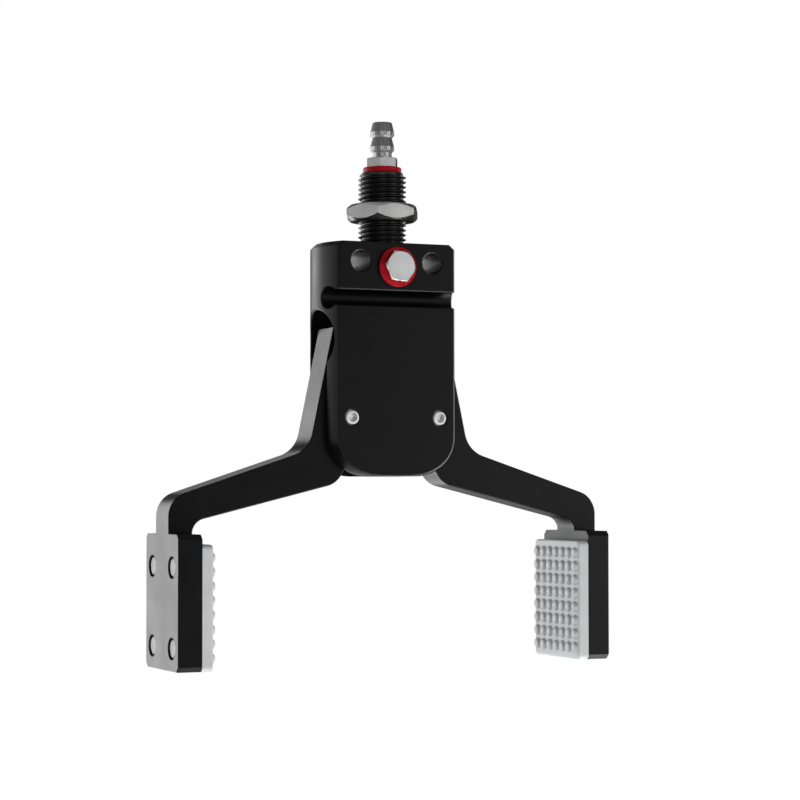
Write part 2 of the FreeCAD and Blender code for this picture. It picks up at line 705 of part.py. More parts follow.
def make_pin(side, way):
    """Pivot pin along Y, pressed into the body, a little below both flats."""
    lay = FreeCAD.Rotation(FreeCAD.Vector(1, 0, 0), 90)
    body = new_body(side + "_pivot_pin", (pivot_out * way, 0, -pivot_drop), lay)
    sketch = new_sketch(body, "XZ_Plane")
    reach = flat_depth - pin_recess
    rim = pin_diameter / 2
    neck = rim - pin_chamfer
    edge = reach - pin_chamfer
    outline(sketch, [(0, -reach), (neck, -reach), (rim, -edge), (rim, edge), (neck, reach), (0, reach)])
    turn_profile(body, sketch)
    return body


# Distance from the body's middle to a piston's nose: the dome touches the leaning lever above the
# axis, so the nose stands back by the dome's sag there.
lever_lean = (elbow_out - shank_out) / (shank_rise + elbow_drop)
dome_radius = (piston_radius * piston_radius + piston_crown * piston_crown) / (piston_crown * 2)
lever_at_bore = pivot_out + lever_inner(pivot_drop - bore_drop)
nose = lever_at_bore - nose_gap - dome_radius * lever_lean * lever_lean / 2
ring_start = piston_back + ring_inset
ring_room = ring_section + ring_play * 6


def make_piston(side, turn):
    """Piston with a domed nose, a groove for its seal ring and a magnet pocket at the inner end."""
    body = new_body(side + "_piston", (0, 0, -bore_drop), turn)
    sketch = new_sketch(body, "XZ_Plane")
    rim = piston_radius
    floor = bore_radius - ring_section
    pocket_radius = magnet_diameter / 2 + magnet_play
    pocket_end = piston_back + magnet_thickness
    shoulder = nose - piston_crown
    corners = [
        (pocket_end, 0), (pocket_end, pocket_radius), (piston_back, pocket_radius),
        (piston_back, rim - piston_chamfer), (piston_back + piston_chamfer, rim),
        (ring_start, rim), (ring_start, floor), (ring_start + ring_room, floor),
        (ring_start + ring_room, rim), (shoulder, rim), (nose, 0)]
    points = [FreeCAD.Vector(sized(x).value, sized(y).value, 0) for x, y in corners]
    edges = []
    for i, start in enumerate(points):
        end = points[(i + 1) % len(points)]
        if i == len(points) - 2:
            centre = FreeCAD.Vector(nose.value - dome_radius.value, 0, 0)
            rim_circle = Part.Circle(centre, FreeCAD.Vector(0, 0, 1), dome_radius.value)
            angle = math.atan2(start.y, start.x - centre.x)
            edges.append(sketch.addGeometry(Part.ArcOfCircle(rim_circle, 0, angle), False))
        else:
            edges.append(sketch.addGeometry(Part.LineSegment(start, end), False))
    dome = edges[-2]
    for i, (x, y) in enumerate(corners):
        before = edges[i - 1]
        after = edges[i]
        leave = 1 if before == dome else 2
        begin = 2 if after == dome else 1
        sketch.addConstraint(Sketcher.Constraint("Coincident", before, leave, after, begin))
        locate(sketch, after, begin, x, y)
    sketch.addConstraint(Sketcher.Constraint("PointOnObject", dome, 3, -1))
    turn_profile(body, sketch, "H_Axis")
    return body


def make_ring(side, turn):
    """Seal ring, squeezed between its groove and the bore."""
    body = new_body(side + "_piston_seal", (0, 0, -bore_drop), turn)
    sketch = new_sketch(body, "XZ_Plane")
    circle(sketch, ring_start + ring_room / 2, bore_radius - ring_section / 2,
           ring_section - ring_play * 2)
    turn_profile(body, sketch, "H_Axis")
    return body


def make_magnet(side, way):
    magnet = doc.addObject("Part::Cylinder", side + "_piston_magnet")
    magnet.Label = side + "_piston_magnet"
    bound(magnet, Radius=magnet_diameter / 2, Height=magnet_thickness)
    axis = FreeCAD.Rotation(FreeCAD.Vector(0, 1, 0), 90 * way)
    start = piston_back * way
    magnet.Placement = FreeCAD.Placement(FreeCAD.Vector(start.value, 0, -bore_drop.value), axis)
    magnet.setExpression("Placement.Base.x", start.text)
    magnet.setExpression("Placement.Base.z", (-bore_drop).text)
    return magnet


def make_spring(side, way):
    """Return spring between its pocket in the web and its pocket in the arm."""
    start = slot_back - web_pocket_depth + spring_seat_gap
    end = pivot_out + arm_seat - spring_seat_gap
    axis = FreeCAD.Rotation(FreeCAD.Vector(0, 1, 0), 90 * way)
    place = (start * way, 0, -pivot_drop - spring_drop)
    body = new_body(side + "_return_spring", place, axis)
    sketch = new_sketch(body, "XZ_Plane")
    circle(sketch, (spring_diameter - spring_wire) / 2, spring_wire / 2, spring_wire)
    coil = body.newObject("PartDesign::AdditiveHelix", body.Label + "_coil")
    coil.Profile = sketch
    coil.ReferenceAxis = (sketch, ["V_Axis"])
    coil.Mode = "height-turns-angle"
    rise = end - start - spring_wire
    bound(coil, Height=rise, Turns=spring_turns)
    doc.recompute()
    return body


parts = [make_body(), make_nut(), make_nipple(), make_plug()]
parts.append(make_washer("nipple_seal_washer", seal_diameter, seal_thickness, (0, 0, stem_length)))
parts.append(make_washer(
    "plug_seal_washer", plug_seal_diameter, plug_seal_thickness, (0, -flat_depth, -port_drop),
    FreeCAD.Rotation(FreeCAD.Vector(1, 0, 0), 90)))
for side, way, turn in sides:
    parts.append(make_arm(side, way, turn))
    parts.append(make_pad(side, way, turn))
    parts.append(make_pin(side, way))
    parts.append(make_piston(side, turn))
    parts.append(make_ring(side, turn))
    parts.append(make_magnet(side, way))
    parts.append(make_spring(side, way))

doc.recompute()
for thing in doc.Objects:
    if "Invalid" in thing.State or "Error" in thing.State:
        raise RuntimeError("%s failed: %s" % (thing.Label, thing.State))
for part in parts:
    if part.Shape.isNull() or not part.Shape.isValid():
        raise RuntimeError("%s has no valid shape" % part.Label)

os.makedirs("parts", exist_ok=True)
for part in parts:
    part.Shape.exportStep(os.path.join("parts", part.Label + ".step"))
    print("%-20s %10.2f mm3, %d solid" % (part.Label, part.Shape.Volume, len(part.Shape.Solids)))
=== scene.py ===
import json
import math
import bmesh
import bpy
from mathutils import Matrix, Vector

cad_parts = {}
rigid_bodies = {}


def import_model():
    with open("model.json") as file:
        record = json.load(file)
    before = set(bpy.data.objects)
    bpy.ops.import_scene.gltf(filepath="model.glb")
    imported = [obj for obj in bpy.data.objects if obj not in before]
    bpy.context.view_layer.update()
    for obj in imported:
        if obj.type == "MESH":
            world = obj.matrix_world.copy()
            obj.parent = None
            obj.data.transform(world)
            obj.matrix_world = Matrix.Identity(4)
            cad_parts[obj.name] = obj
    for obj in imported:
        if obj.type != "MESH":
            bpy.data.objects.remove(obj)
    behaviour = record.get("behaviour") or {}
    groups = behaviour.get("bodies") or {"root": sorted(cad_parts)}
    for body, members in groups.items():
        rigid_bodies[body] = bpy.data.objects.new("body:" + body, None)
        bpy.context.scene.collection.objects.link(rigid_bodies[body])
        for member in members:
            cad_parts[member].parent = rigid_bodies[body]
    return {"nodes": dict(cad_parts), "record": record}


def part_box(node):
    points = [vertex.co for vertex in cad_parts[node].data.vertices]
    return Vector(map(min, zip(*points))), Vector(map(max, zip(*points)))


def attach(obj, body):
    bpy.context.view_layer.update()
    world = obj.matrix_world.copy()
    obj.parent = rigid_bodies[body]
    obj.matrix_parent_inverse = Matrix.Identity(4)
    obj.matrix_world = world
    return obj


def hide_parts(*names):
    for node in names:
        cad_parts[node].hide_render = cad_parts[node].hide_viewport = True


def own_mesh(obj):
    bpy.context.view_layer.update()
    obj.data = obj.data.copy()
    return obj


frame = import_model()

# Looks of a wide-opening air gripper: black anodised body and arms, steel and nickel fittings,
# red seals and white nubbed pads. Lengths in the dictionaries are in millimetres.
mm = 0.001
full = (0.0, 1.0)   # range of a mask
scene = bpy.context.scene
nodes = frame["nodes"]
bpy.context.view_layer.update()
print("frame:", len(nodes), "nodes")


# node helpers

def metres(lengths):
    return [length * mm for length in lengths]


def addNode(tree, kind, **settings):
    node = tree.nodes.new(kind)
    for key, value in settings.items():
        setattr(node, key, value)
    return node


def feed(tree, value, socket):   # links a socket, or sets a fixed value
    if isinstance(value, bpy.types.NodeSocket):
        tree.links.new(value, socket)
    else:
        socket.default_value = value


def compute(tree, operation, *values):
    node = addNode(tree, "ShaderNodeMath", operation=operation)
    for value, socket in zip(values, node.inputs):
        feed(tree, value, socket)
    return node.outputs[0]


def hypotenuse(tree, first, second):
    square = compute(tree, "MULTIPLY", second, second)
    return compute(tree, "SQRT", compute(tree, "MULTIPLY_ADD", first, first, square))


def spread(tree, value, fromRange, toRange=full):   # maps one range onto another and stops at its ends
    node = addNode(tree, "ShaderNodeMapRange")
    labels = ("From Min", "From Max", "To Min", "To Max")
    for label, number in zip(labels, (*fromRange, *toRange)):
        node.inputs[label].default_value = number
    feed(tree, value, node.inputs["Value"])
    return node.outputs["Result"]


def mixColour(tree, share, first, second):
    node = addNode(tree, "ShaderNodeMix", data_type="RGBA")
    for value, index in ((share, 0), (first, 6), (second, 7)):
        feed(tree, (*value, 1.0) if isinstance(value, tuple) else value, node.inputs[index])
    return node.outputs[2]


def splitVector(tree, vector):
    node = addNode(tree, "ShaderNodeSeparateXYZ")
    feed(tree, vector, node.inputs[0])
    return list(node.outputs)


def newGroup(name, kind, inputs, outputs):
    tree = bpy.data.node_groups.new(name, kind)
    for label, socketType, value in inputs:
        socket = tree.interface.new_socket(label, in_out="INPUT", socket_type=socketType)
        if value is not None:
            socket.default_value = value
    for label, socketType in outputs:
        tree.interface.new_socket(label, in_out="OUTPUT", socket_type=socketType)
    source = addNode(tree, "NodeGroupInput")
    sink = addNode(tree, "NodeGroupOutput")
    return tree, source.outputs, sink.inputs


def arrange(tree, width=220, height=190):   # columns of nodes, each one left of all that it feeds
    columns = {node.name: 0 for node in tree.nodes}
    settled = False
    while not settled:
        settled = True
        for link in tree.links:
            column = columns[link.to_node.name] + 1
            if columns[link.from_node.name] < column:
                columns[link.from_node.name] = column
                settled = False
    filled = {}
    for node in tree.nodes:
        column = columns[node.name]
        filled[column] = filled.get(column, 0) + 1
        node.location = (-width * column, -height * filled[column])


# shared surface effects

noiseBand = (0.25, 0.75)   # where most of a noise lies
rubbed = {
    "samples": 6, "turned": (0.97, 0.75),   # how far the bevelled normal has to turn
    "detail": 3.0, "patchBand": (0.35, 0.65), "patchShare": (0.25, 1.0),
}


def makeGrainGroup():   # fine grain, and broad clouds
    tree, given, made = newGroup("blastedGrain", "ShaderNodeTree", [
        ("Vector", "NodeSocketVector", None),
        ("Grain Scale", "NodeSocketFloat", 8000.0),
        ("Cloud Scale", "NodeSocketFloat", 120.0),
    ], [("Grain", "NodeSocketFloat"), ("Cloud", "NodeSocketFloat")])
    for label, detail, roughness in (("Grain", 2.0, 0.65), ("Cloud", 4.0, 0.5)):
        noise = addNode(tree, "ShaderNodeTexNoise")
        noise.inputs["Detail"].default_value = detail
        noise.inputs["Roughness"].default_value = roughness
        feed(tree, given["Vector"], noise.inputs["Vector"])
        feed(tree, given[label + " Scale"], noise.inputs["Scale"])
        feed(tree, spread(tree, noise.outputs[0], noiseBand), made[label])
    return tree


def makeRubGroup():   # where handling has thinned the finish along the edges
    tree, given, made = newGroup("rubbedEdge", "ShaderNodeTree", [
        ("Vector", "NodeSocketVector", None),
        ("Reach", "NodeSocketFloat", 0.25 * mm),
        ("Patch Scale", "NodeSocketFloat", 500.0),
    ], [("Rub", "NodeSocketFloat")])
    rounded = addNode(tree, "ShaderNodeBevel", samples=rubbed["samples"])
    feed(tree, given["Reach"], rounded.inputs["Radius"])
    turn = addNode(tree, "ShaderNodeVectorMath", operation="DOT_PRODUCT")
    feed(tree, rounded.outputs["Normal"], turn.inputs[0])
    feed(tree, addNode(tree, "ShaderNodeNewGeometry").outputs["Normal"], turn.inputs[1])
    edge = spread(tree, turn.outputs["Value"], rubbed["turned"])
    patch = addNode(tree, "ShaderNodeTexNoise")
    patch.inputs["Detail"].default_value = rubbed["detail"]
    feed(tree, given["Vector"], patch.inputs["Vector"])
    feed(tree, given["Patch Scale"], patch.inputs["Scale"])
    uneven = spread(tree, patch.outputs[0], rubbed["patchBand"], rubbed["patchShare"])
    feed(tree, compute(tree, "MULTIPLY", edge, uneven), made["Rub"])
    return tree


def makeRingGroup():   # fine turning marks round the vector's Z axis
    tree, given, made = newGroup("turnedRings", "ShaderNodeTree", [
        ("Vector", "NodeSocketVector", None),
        ("Rings Per Metre", "NodeSocketFloat", 9000.0),
    ], [("Rings", "NodeSocketFloat")])
    x, y, z = splitVector(tree, given["Vector"])
    line = compute(tree, "ADD", z, hypotenuse(tree, x, y))
    rings = addNode(tree, "ShaderNodeTexNoise", noise_dimensions="1D")
    rings.inputs["Scale"].default_value = 1.0
    rings.inputs["Detail"].default_value = 3.0
    feed(tree, compute(tree, "MULTIPLY", line, given["Rings Per Metre"]), rings.inputs["W"])
    feed(tree, spread(tree, rings.outputs[0], noiseBand), made["Rings"])
    return tree


grainGroup = makeGrainGroup()
rubGroup = makeRubGroup()
ringGroup = makeRingGroup()


def newFinish(name):
    material = bpy.data.materials.new(name)
    material.use_nodes = True
    tree = material.node_tree
    tree.nodes.clear()
    surface = addNode(tree, "ShaderNodeBsdfPrincipled")
    out = addNode(tree, "ShaderNodeOutputMaterial")
    feed(tree, surface.outputs[0], out.inputs["Surface"])
    place = addNode(tree, "ShaderNodeTexCoord").outputs["Object"]
    return material, tree, surface.inputs, place


def useGroup(tree, group, vector, **values):
    node = addNode(tree, "ShaderNodeGroup", node_tree=group)
    feed(tree, vector, node.inputs["Vector"])
    for label, value in values.items():
        node.inputs[label.replace("_", " ")].default_value = value
    return node.outputs


def useGrain(tree, place, spec):
    return useGroup(tree, grainGroup, place, Grain_Scale=spec["grainScale"], Cloud_Scale=spec["cloudScale"])


def addBump(tree, height, surface, depth):
    bump = addNode(tree, "ShaderNodeBump")
    bump.inputs["Distance"].default_value = depth * mm
    feed(tree, height, bump.inputs["Height"])
    feed(tree, bump.outputs[0], surface["Normal"])


def trueNormal(tree):
    return splitVector(tree, addNode(tree, "ShaderNodeNewGeometry").outputs["True Normal"])


anodised = {
    "deep": (0.0016, 0.0016, 0.0018), "pale": (0.003, 0.003, 0.0033), "wearAndPaintedLine": (0.035, 0.035, 0.037),
    "grainScale": 9000.0, "cloudScale": 130.0, "grainDepth": 0.0012,
    "rubReach": 0.22, "rubShare": 0.7, "specular": 0.17, "roughness": (0.31, 0.41),
    "grainShare": 0.5, "mottled": (0.2, 1.3),   # grain against the clouds, and the band of both
}
# painted highlight: a pale metal line on the flats' chamfers that face +X stands in for the light caught
# along those edges; the stem's thread also gets more specular
paintedEdgeLine = {
    "depth": 7.2, "slope": (0.78, 0.17), "side": (0.1, 0.35),   # place, slope and facing of the edge
    "colour": (0.32, 0.32, 0.33), "metal": 0.6,
    "stemFrom": (0.0, 0.3), "threadSpecular": 0.36,
}


def makeAnodised(name, edgeLine=None):
    spec = anodised
    material, tree, surface, place = newFinish(name)
    grain = useGrain(tree, place, spec)
    rub = useGroup(tree, rubGroup, place, Reach=spec["rubReach"] * mm)["Rub"]
    tone = mixColour(tree, grain["Cloud"], spec["deep"], spec["pale"])
    colour = mixColour(tree, compute(tree, "MULTIPLY", rub, spec["rubShare"]), tone, spec["wearAndPaintedLine"])
    surface["Specular IOR Level"].default_value = spec["specular"]
    if edgeLine:   # pale metal painted on the flats' chamfers that face +X: a painted highlight along those edges
        spot = splitVector(tree, place)
        facing = trueNormal(tree)
        deep = compute(tree, "GREATER_THAN", compute(tree, "ABSOLUTE", spot[1]), edgeLine["depth"] * mm)
        sloped = compute(tree, "COMPARE", compute(tree, "ABSOLUTE", facing[1]), *edgeLine["slope"])
        litSide = spread(tree, facing[0], edgeLine["side"])
        wearAndPaintedLine = compute(tree, "MULTIPLY", compute(tree, "MULTIPLY", deep, sloped), litSide)
        colour = mixColour(tree, wearAndPaintedLine, colour, edgeLine["colour"])
        feed(tree, compute(tree, "MULTIPLY", wearAndPaintedLine, edgeLine["metal"]), surface["Metallic"])
        sheen = (spec["specular"], edgeLine["threadSpecular"])   # the thread shines more than the rest
        feed(tree, spread(tree, spot[2], metres(edgeLine["stemFrom"]), sheen), surface["Specular IOR Level"])
    feed(tree, colour, surface["Base Color"])
    mottle = compute(tree, "MULTIPLY_ADD", grain["Grain"], spec["grainShare"], grain["Cloud"])
    feed(tree, spread(tree, mottle, spec["mottled"], spec["roughness"]), surface["Roughness"])
    addBump(tree, grain["Grain"], surface, spec["grainDepth"])
    return material


# metals, turned or ground, each with what is special about its piece

def addRim(tree, rim, look):   # white matte ring round a pin's end, a painted shadow dark in the gap beyond it, and a shallow centre mark
    spot = splitVector(tree, look["place"])
    across = compute(tree, "SUBTRACT", compute(tree, "ABSOLUTE", spot[0]), rim["across"] * mm)
    reach = hypotenuse(tree, across, compute(tree, "SUBTRACT", spot[2], rim["level"] * mm))
    ring = spread(tree, reach, metres(rim["inside"]))
    pale = mixColour(tree, ring, look["colour"], rim["colour"])
    look["colour"] = mixColour(tree, spread(tree, reach, metres(rim["outside"])), pale, rim["paintedGapShade"])
    look["rough"] = compute(tree, "MULTIPLY_ADD", ring, rim["extraRoughness"], look["rough"])
    look["metal"] = compute(tree, "SUBTRACT", 1.0, ring)
    dimple = spread(tree, reach, (0.0, rim["inside"][0] * mm), (0.0, rim["dimple"]))
    look["height"] = compute(tree, "ADD", look["height"], dimple)


def addBarbs(tree, barbs, look):   # duller above the hexagon, with fine marks along the axis
    x, y, z = splitVector(tree, look["place"])
    marks = addNode(tree, "ShaderNodeTexNoise", noise_dimensions="1D")
    marks.inputs["Scale"].default_value = 1.0
    angle = compute(tree, "ARCTAN2", y, x)
    feed(tree, compute(tree, "MULTIPLY", angle, barbs["marks"]), marks.inputs["W"])
    marked = spread(tree, marks.outputs[0], barbs["markBand"])
    dull = mixColour(tree, marked, barbs["dark"], barbs["light"])
    above = spread(tree, z, metres(barbs["from"]))
    look["colour"] = mixColour(tree, above, look["colour"], dull)
    look["rough"] = compute(tree, "MULTIPLY_ADD", above, barbs["extraRoughness"], look["rough"])


def paintUnderShade(tree, under, look):   # painted shade: darker, rougher plate on the faces that look down
    below = spread(tree, trueNormal(tree)[2], under["facing"])
    look["colour"] = mixColour(tree, below, look["colour"], under["colour"])
    look["rough"] = compute(tree, "MULTIPLY_ADD", below, under["extraRoughness"], look["rough"])


metalWear = {"reach": 0.2, "share": 0.5, "grainHeight": 0.4}


def makeMetal(name, spec):
    material, tree, surface, place = newFinish(name)
    turned = addNode(tree, "ShaderNodeMapping")
    turned.inputs["Location"].default_value = metres(spec.get("centre", (0, 0, 0)))
    turned.inputs["Rotation"].default_value = [math.radians(v) for v in spec.get("turn", (0, 0, 0))]
    feed(tree, place, turned.inputs["Vector"])
    rings = useGroup(tree, ringGroup, turned.outputs[0], Rings_Per_Metre=spec["rings"])["Rings"]
    grain = useGrain(tree, place, spec)
    rub = useGroup(tree, rubGroup, place, Reach=metalWear["reach"] * mm)["Rub"]
    clouds = compute(tree, "MULTIPLY", grain["Cloud"], 1.0 - spec["ringShare"])
    streak = compute(tree, "MULTIPLY_ADD", rings, spec["ringShare"], clouds)
    tone = mixColour(tree, streak, spec["dark"], spec["light"])
    wearAndPaintedLine = compute(tree, "MULTIPLY", rub, metalWear["share"])
    grainHeight = compute(tree, "MULTIPLY", grain["Grain"], metalWear["grainHeight"])
    look = {
        "place": place,
        "colour": mixColour(tree, wearAndPaintedLine, tone, spec["edge"]),
        "rough": spread(tree, streak, full, spec["roughness"]),
        "height": compute(tree, "MULTIPLY_ADD", rings, spec["ringShare"], grainHeight),
        "metal": 1.0,
    }
    for key, dress in (("rim", addRim), ("barbs", addBarbs), ("under", paintUnderShade)):
        if key in spec:
            dress(tree, spec[key], look)
    feed(tree, look["colour"], surface["Base Color"])
    feed(tree, look["rough"], surface["Roughness"])
    feed(tree, look["metal"], surface["Metallic"])
    tint = spec["tint"]   # dims the mirror at a glancing angle
    surface["Specular Tint"].default_value = (tint, tint, tint, 1.0)
    addBump(tree, look["height"], surface, spec["depth"])
    return material


platedSteel = {
    "dark": (0.72, 0.72, 0.715), "light": (0.85, 0.85, 0.84), "edge": (0.9, 0.9, 0.89),
    "tint": 0.0, "roughness": (0.19, 0.26), "rings": 7000.0, "ringShare": 0.45,
    "grainScale": 6000.0, "cloudScale": 260.0, "depth": 0.0016,
    # under: painted shade, darker and rougher plate on the faces that look down
    "under": {"facing": (-0.2, -0.45), "colour": (0.46, 0.46, 0.46), "extraRoughness": 0.06},
}
nickelPlate = {
    "dark": (0.7, 0.71, 0.705), "light": (0.86, 0.87, 0.865), "edge": (0.88, 0.88, 0.87),
    "tint": 0.0, "roughness": (0.19, 0.28), "rings": 11000.0, "ringShare": 0.6,
    "grainScale": 7000.0, "cloudScale": 380.0, "depth": 0.0007,
}
nippleNickel = dict(nickelPlate, barbs={
    "from": (18.28, 18.36), "marks": 14.0, "markBand": (0.3, 0.7),
    "dark": (0.25, 0.25, 0.25), "light": (0.78, 0.785, 0.785), "extraRoughness": 0.16,
})
plugNickel = dict(   # faced off, so the rings run round the plug's own axis
    nickelPlate, dark=(0.8, 0.802, 0.805), light=(0.86, 0.862, 0.865), depth=0.00015,
    centre=(0, 0, 5.0), turn=(90, 0, 0), rings=5000.0, ringShare=0.3,
)
groundSteel = {
    "dark": (0.36, 0.36, 0.365), "light": (0.5, 0.5, 0.505), "edge": (0.95, 0.95, 0.95),
    "tint": 0.6, "roughness": (0.3, 0.42), "turn": (90, 0, 0), "rings": 9000.0, "ringShare": 0.4,
    "grainScale": 9000.0, "cloudScale": 600.0, "depth": 0.001,
}
pivotSteel = dict(
    groundSteel, dark=(0.16, 0.16, 0.165), light=(0.66, 0.66, 0.665), cloudScale=1100.0, ringShare=0.15,
    rim={
        "across": 9.8, "level": -36.0, "inside": (0.92, 1.06), "outside": (1.36, 1.42),
        # gap: painted shadow round the pin's end
        "colour": (0.96, 0.96, 0.96), "paintedGapShade": (0.05, 0.05, 0.05), "extraRoughness": 0.3,
        "dimple": 80.0,   # in depths of the bump
    },
)
bareAluminium = {
    "dark": (0.58, 0.58, 0.585), "light": (0.74, 0.74, 0.745), "edge": (0.85, 0.85, 0.85),
    "tint": 0.7, "roughness": (0.28, 0.4), "turn": (0, 90, 0), "rings": 8000.0, "ringShare": 0.7,
    "grainScale": 7000.0, "cloudScale": 300.0, "depth": 0.0016,
}
magnetPlate = dict(nickelPlate, turn=(0, 90, 0), ringShare=0.2, roughness=(0.16, 0.26))
drawnWire = dict(groundSteel, turn=(0, 0, 0), ringShare=0.15, roughness=(0.26, 0.36))


# seals and pads

redFibre = {
    "dark": (0.34, 0.003, 0.008), "light": (0.53, 0.005, 0.013),
    "roughness": (0.36, 0.52), "specular": 0.12, "grainScale": 4200.0, "cloudScale": 700.0, "depth": 0.006,
}
siliconePad = {
    "dark": (0.615, 0.63, 0.645), "light": (0.695, 0.71, 0.725),
    "roughness": (0.42, 0.58), "specular": 0.3, "grainScale": 5200.0, "cloudScale": 220.0, "depth": 0.004,
    "glow": {"share": 0.12, "reach": 0.8},
    # hollow: painted shade between the nubs
    "hollow": {"dirt": (0.37, 0.39, 0.41), "reach": 1.6, "open": (1.0, 0.6), "samples": 8},
    # studs: stud ends painted grey as shade inside their holes, with painted shadow at their rim
    "studs": {
        "across": 6.0, "level": -74.0, "along": 8.0, "from": (44.0, 44.2),
        "colour": (0.44, 0.44, 0.44), "rim": (1.55, 1.8), "paintedGapShade": (0.03, 0.03, 0.03),
    },
}
sealRubber = {
    "dark": (0.012, 0.012, 0.012), "light": (0.024, 0.024, 0.024),
    "roughness": (0.5, 0.66), "specular": 0.3, "grainScale": 6000.0, "cloudScale": 500.0, "depth": 0.004,
}
mouldGrain = 0.6   # share of the grain in the roughness; the clouds have the rest


def dirtyHollows(tree, hollow, colour):   # a little painted shade between the nubs, from ambient occlusion
    sky = addNode(tree, "ShaderNodeAmbientOcclusion", samples=hollow["samples"], only_local=True)
    sky.inputs["Distance"].default_value = hollow["reach"] * mm
    return mixColour(tree, spread(tree, sky.outputs["AO"], hollow["open"]), colour, hollow["dirt"])


def paintStudShade(tree, place, studs, colour):   # stud ends painted grey as shade inside their holes, and painted shadow dark where they round off
    x, y, z = splitVector(tree, place)
    outside = spread(tree, compute(tree, "ABSOLUTE", x), metres(studs["from"]))
    across = compute(tree, "SUBTRACT", compute(tree, "ABSOLUTE", y), studs["across"] * mm)
    fromMiddle = compute(tree, "ABSOLUTE", compute(tree, "SUBTRACT", z, studs["level"] * mm))
    along = compute(tree, "SUBTRACT", fromMiddle, studs["along"] * mm)
    rim = spread(tree, hypotenuse(tree, across, along), metres(studs["rim"]))
    return mixColour(tree, outside, colour, mixColour(tree, rim, studs["colour"], studs["paintedGapShade"]))


def makeMoulded(name, spec):   # cloudy colour and a fine mould texture
    material, tree, surface, place = newFinish(name)
    grain = useGrain(tree, place, spec)
    colour = mixColour(tree, grain["Cloud"], spec["dark"], spec["light"])
    if "hollow" in spec:
        colour = dirtyHollows(tree, spec["hollow"], colour)
    if "studs" in spec:
        colour = paintStudShade(tree, place, spec["studs"], colour)
    feed(tree, colour, surface["Base Color"])
    clouds = compute(tree, "MULTIPLY", grain["Cloud"], 1.0 - mouldGrain)
    rough = compute(tree, "MULTIPLY_ADD", grain["Grain"], mouldGrain, clouds)
    feed(tree, spread(tree, rough, full, spec["roughness"]), surface["Roughness"])
    surface["Specular IOR Level"].default_value = spec["specular"]
    if "glow" in spec:   # light that passes through thin silicone
        surface["Subsurface Weight"].default_value = spec["glow"]["share"]
        surface["Subsurface Radius"].default_value = (1.0, 1.0, 1.0)
        surface["Subsurface Scale"].default_value = spec["glow"]["reach"] * mm
    addBump(tree, grain["Grain"], surface, spec["depth"])
    return material


finishes = {
    "black_anodised": makeAnodised("blackAnodised"),
    "body_anodised": makeAnodised("bodyAnodised", paintedEdgeLine),
    "plated_steel": makeMetal("platedSteel", platedSteel),
    "nickel_plate": makeMetal("nippleNickel", nippleNickel),
    "plug_nickel": makeMetal("plugNickel", plugNickel),
    "ground_steel": makeMetal("pivotSteel", pivotSteel),
    "bare_aluminium": makeMetal("bareAluminium", bareAluminium),
    "magnet": makeMetal("magnetPlate", magnetPlate),
    "spring_wire": makeMetal("drawnWire", drawnWire),
    "red_seal": makeMoulded("redFibre", redFibre),
    "white_silicone": makeMoulded("siliconePad", siliconePad),
    "black_rubber": makeMoulded("sealRubber", sealRubber),
}
slotOf = {part["node"]: part["material_slot"] for part in frame["record"]["subparts"]}
for name, node in nodes.items():
    node.data.materials.clear()
    node.data.materials.append(finishes["plug_nickel" if name == "port_plug" else slotOf[name]])
print("finishes:", len(finishes))


# pieces made by rule

def runTree(name, tree, values):   # one object from a tree, as a plain mesh at the origin
    holder = bpy.data.objects.new(name + "Holder", bpy.data.meshes.new(name + "Start"))
    scene.collection.objects.link(holder)
    modifier = holder.modifiers.new(name, "NODES")
    modifier.node_group = tree
    inputs = [item for item in tree.interface.items_tree if item.in_out == "INPUT"]
    identifiers = {item.name: item.identifier for item in inputs}
    for label, value in values.items():
        modifier[identifiers[label]] = value
    graph = bpy.context.evaluated_depsgraph_get()
    mesh = bpy.data.meshes.new_from_object(holder.evaluated_get(graph), depsgraph=graph)
    bpy.data.objects.remove(holder)
    mesh.name = name
    return mesh


def sockets(socketType, *labels):
    return [(label, socketType, None) for label in labels]


def finishTree(tree, geometry, given, made):
    whole = addNode(tree, "GeometryNodeRealizeInstances")
    feed(tree, geometry, whole.inputs["Geometry"])
    coat = addNode(tree, "GeometryNodeSetMaterial")
    feed(tree, whole.outputs[0], coat.inputs["Geometry"])
    feed(tree, given["Material"], coat.inputs["Material"])
    feed(tree, coat.outputs[0], made["Geometry"])
    return tree


stemThread = {
    "pitch": 1.0, "crest": 5.0, "root": 4.39, "tip": 4.3,   # radii of crests, grooves and end
    "base": -0.35, "top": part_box("body")[1][2] / mm,
    "formHeights": (0.0, 0.125, 0.4375, 0.6875, 1.0),   # crest, flank, root, flank, in pitches
    "formDepths": (1.0, 1.0, 0.0, 0.0, 1.0),            # from root to crest
    "crestAtRight": 1.21, "rightAngle": -24.2,   # a crest's height on the right side in the photo
    "segments": 84, "weld": 0.002,
}


